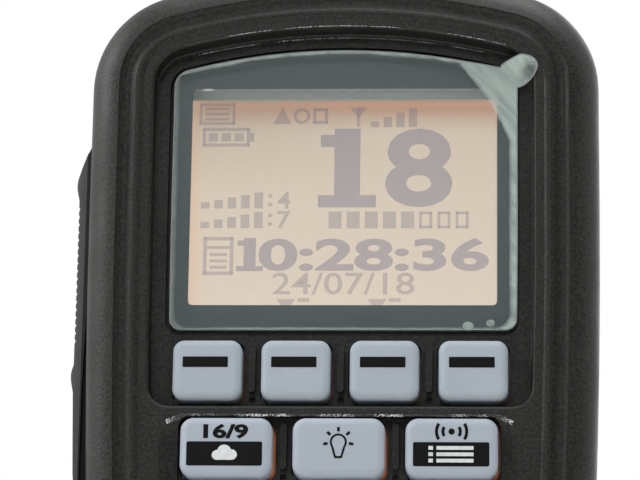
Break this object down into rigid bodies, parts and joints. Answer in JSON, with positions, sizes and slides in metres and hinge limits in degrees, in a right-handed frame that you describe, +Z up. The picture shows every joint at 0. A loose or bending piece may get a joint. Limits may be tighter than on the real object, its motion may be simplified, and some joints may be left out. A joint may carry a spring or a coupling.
{
  "type": "marine radio handset",
  "caption": "Handset of a fixed-mount VHF marine radio with display, keypad, side talk lever, lidded distress button and hang-up button.",
  "frame": {"origin": "middle of the flat bottom face at the cord end, on the plane where the two covers meet", "axes": "+Z up along the handset from the cord end to the display end, -Y out of the display and keys, +X to the right as the user sees it"},
  "size_m": [0.0728, 0.0389, 0.152],
  "materials": {
    "housing_plastic": "fine grained, moulded",
    "lever_rubber": "moulded, ribbed thumb rest",
    "key_silicone": "translucent grey silicone, printed",
    "seal_rubber": "moulded",
    "gland_rubber": "moulded",
    "screw_steel": "plain stainless",
    "stud_steel": "turned stainless",
    "contact_steel": "stamped",
    "shield_steel": "tinned sheet",
    "shield_aluminium": "drawn can",
    "magnet_iron": "ground, nickel plated",
    "window": "hard coated, printed border",
    "film": "clear protective film",
    "lcd_glass": "backlit dot display",
    "light_guide": "clear acrylic",
    "frame_plastic": "moulded",
    "tape": "adhesive foam",
    "board_laminate": "glass fibre laminate",
    "chip_plastic": "moulded",
    "mesh_cloth": "water repellent cloth",
    "cone_film": "formed film",
    "plunger_plastic": "moulded",
    "lid_plastic": "moulded, red",
    "button_plastic": "moulded, red"
  },
  "bodies": {
    "housing": {"backlight_guide": "light_guide", "board_screws": "screw_steel", "board_shield": "shield_steel", "cable_socket": "frame_plastic", "cord_gland": "gland_rubber", "cover_screws": "screw_steel", "cover_seal": "seal_rubber", "display_window": "window", "distress_hinge_pin": "screw_steel", "distress_spring": "screw_steel", "distress_switch": "chip_plastic", "front_cover": "housing_plastic", "hang_up_button": "stud_steel", "hang_up_screw": "screw_steel", "key_domes": "contact_steel", "keypad_membrane": "seal_rubber", "lcd_frame": "frame_plastic", "lcd_panel": "lcd_glass", "main_board": "board_laminate", "mic_boot": "seal_rubber", "mic_capsule": "shield_aluminium", "processor_chip": "chip_plastic", "rear_cover": "housing_plastic", "screen_film": "film", "speaker_cone": "cone_film", "speaker_frame": "shield_steel", "speaker_magnet": "magnet_iron", "speaker_mesh": "mesh_cloth", "talk_pivot_pin": "screw_steel", "talk_switch": "chip_plastic", "window_tape": "tape"},
    "soft_key_1_body": {"soft_key_1": "key_silicone"},
    "soft_key_2_body": {"soft_key_2": "key_silicone"},
    "soft_key_3_body": {"soft_key_3": "key_silicone"},
    "soft_key_4_body": {"soft_key_4": "key_silicone"},
    "channel_key_body": {"channel_key": "key_silicone"},
    "lamp_key_body": {"lamp_key": "key_silicone"},
    "menu_key_body": {"menu_key": "key_silicone"},
    "clear_key_body": {"clear_key": "key_silicone"},
    "up_key_body": {"up_key": "key_silicone"},
    "enter_key_body": {"enter_key": "key_silicone"},
    "calling_key_body": {"calling_key": "key_silicone"},
    "down_key_body": {"down_key": "key_silicone"},
    "power_key_body": {"power_key": "key_silicone"},
    "talk_lever_body": {"talk_lever": "lever_rubber"},
    "talk_plunger_body": {"talk_plunger": "plunger_plastic"},
    "distress_lid_body": {"distress_lid": "lid_plastic"},
    "distress_button_body": {"distress_button": "button_plastic"}
  },
  "joints": [
    {"name": "soft_key_1_press", "type": "slide", "parent": "housing", "child": "soft_key_1_body", "axis": [0, 1, 0], "range_m": [0, 0.0008], "stiffness_N_per_m": 1500, "springref_m": -0.0002},
    {"name": "soft_key_2_press", "type": "slide", "parent": "housing", "child": "soft_key_2_body", "axis": [0, 1, 0], "range_m": [0, 0.0008], "stiffness_N_per_m": 1500, "springref_m": -0.0002},
    {"name": "soft_key_3_press", "type": "slide", "parent": "housing", "child": "soft_key_3_body", "axis": [0, 1, 0], "range_m": [0, 0.0008], "stiffness_N_per_m": 1500, "springref_m": -0.0002},
    {"name": "soft_key_4_press", "type": "slide", "parent": "housing", "child": "soft_key_4_body", "axis": [0, 1, 0], "range_m": [0, 0.0008], "stiffness_N_per_m": 1500, "springref_m": -0.0002},
    {"name": "channel_key_press", "type": "slide", "parent": "housing", "child": "channel_key_body", "axis": [0, 1, 0], "range_m": [0, 0.0008], "stiffness_N_per_m": 1500, "springref_m": -0.0002},
    {"name": "lamp_key_press", "type": "slide", "parent": "housing", "child": "lamp_key_body", "axis": [0, 1, 0], "range_m": [0, 0.0008], "stiffness_N_per_m": 1500, "springref_m": -0.0002},
    {"name": "menu_key_press", "type": "slide", "parent": "housing", "child": "menu_key_body", "axis": [0, 1, 0], "range_m": [0, 0.0008], "stiffness_N_per_m": 1500, "springref_m": -0.0002},
    {"name": "clear_key_press", "type": "slide", "parent": "housing", "child": "clear_key_body", "axis": [0, 1, 0], "range_m": [0, 0.0008], "stiffness_N_per_m": 1500, "springref_m": -0.0002},
    {"name": "up_key_press", "type": "slide", "parent": "housing", "child": "up_key_body", "axis": [0, 1, 0], "range_m": [0, 0.0008], "stiffness_N_per_m": 1500, "springref_m": -0.0002},
    {"name": "enter_key_press", "type": "slide", "parent": "housing", "child": "enter_key_body", "axis": [0, 1, 0], "range_m": [0, 0.0008], "stiffness_N_per_m": 1500, "springref_m": -0.0002},
    {"name": "calling_key_press", "type": "slide", "parent": "housing", "child": "calling_key_body", "axis": [0, 1, 0], "range_m": [0, 0.0008], "stiffness_N_per_m": 1500, "springref_m": -0.0002},
    {"name": "down_key_press", "type": "slide", "parent": "housing", "child": "down_key_body", "axis": [0, 1, 0], "range_m": [0, 0.0008], "stiffness_N_per_m": 1500, "springref_m": -0.0002},
    {"name": "power_key_press", "type": "slide", "parent": "housing", "child": "power_key_body", "axis": [0, 1, 0], "range_m": [0, 0.0008], "stiffness_N_per_m": 1500, "springref_m": -0.0002},
    {"name": "talk_lever_press", "type": "hinge", "parent": "housing", "child": "talk_lever_body", "pos_m": [-0.0304, 0, 0.0736], "axis": [0, 1, 0], "range_deg": [0, 2], "stiffness_Nm_per_rad": 5, "springref_deg": -0.29},
    {"name": "talk_plunger_slide", "type": "slide", "parent": "housing", "child": "talk_plunger_body", "axis": [1, 0, 0], "range_m": [0, 0.00135]},
    {"name": "distress_lid_open", "type": "hinge", "parent": "housing", "child": "distress_lid_body", "pos_m": [0, 0.01878, 0.07815], "axis": [1, 0, 0], "range_deg": [0, 95], "stiffness_Nm_per_rad": 0.01, "springref_deg": -22.92},
    {"name": "distress_button_press", "type": "slide", "parent": "housing", "child": "distress_button_body", "axis": [0, -1, 0], "range_m": [0, 0.001], "stiffness_N_per_m": 1500, "springref_m": -0.0002}
  ],
  "couplings": [
    {"joint": "talk_plunger_slide", "follows": "talk_lever_press", "m_per_rad": 0.0384}
  ]
}
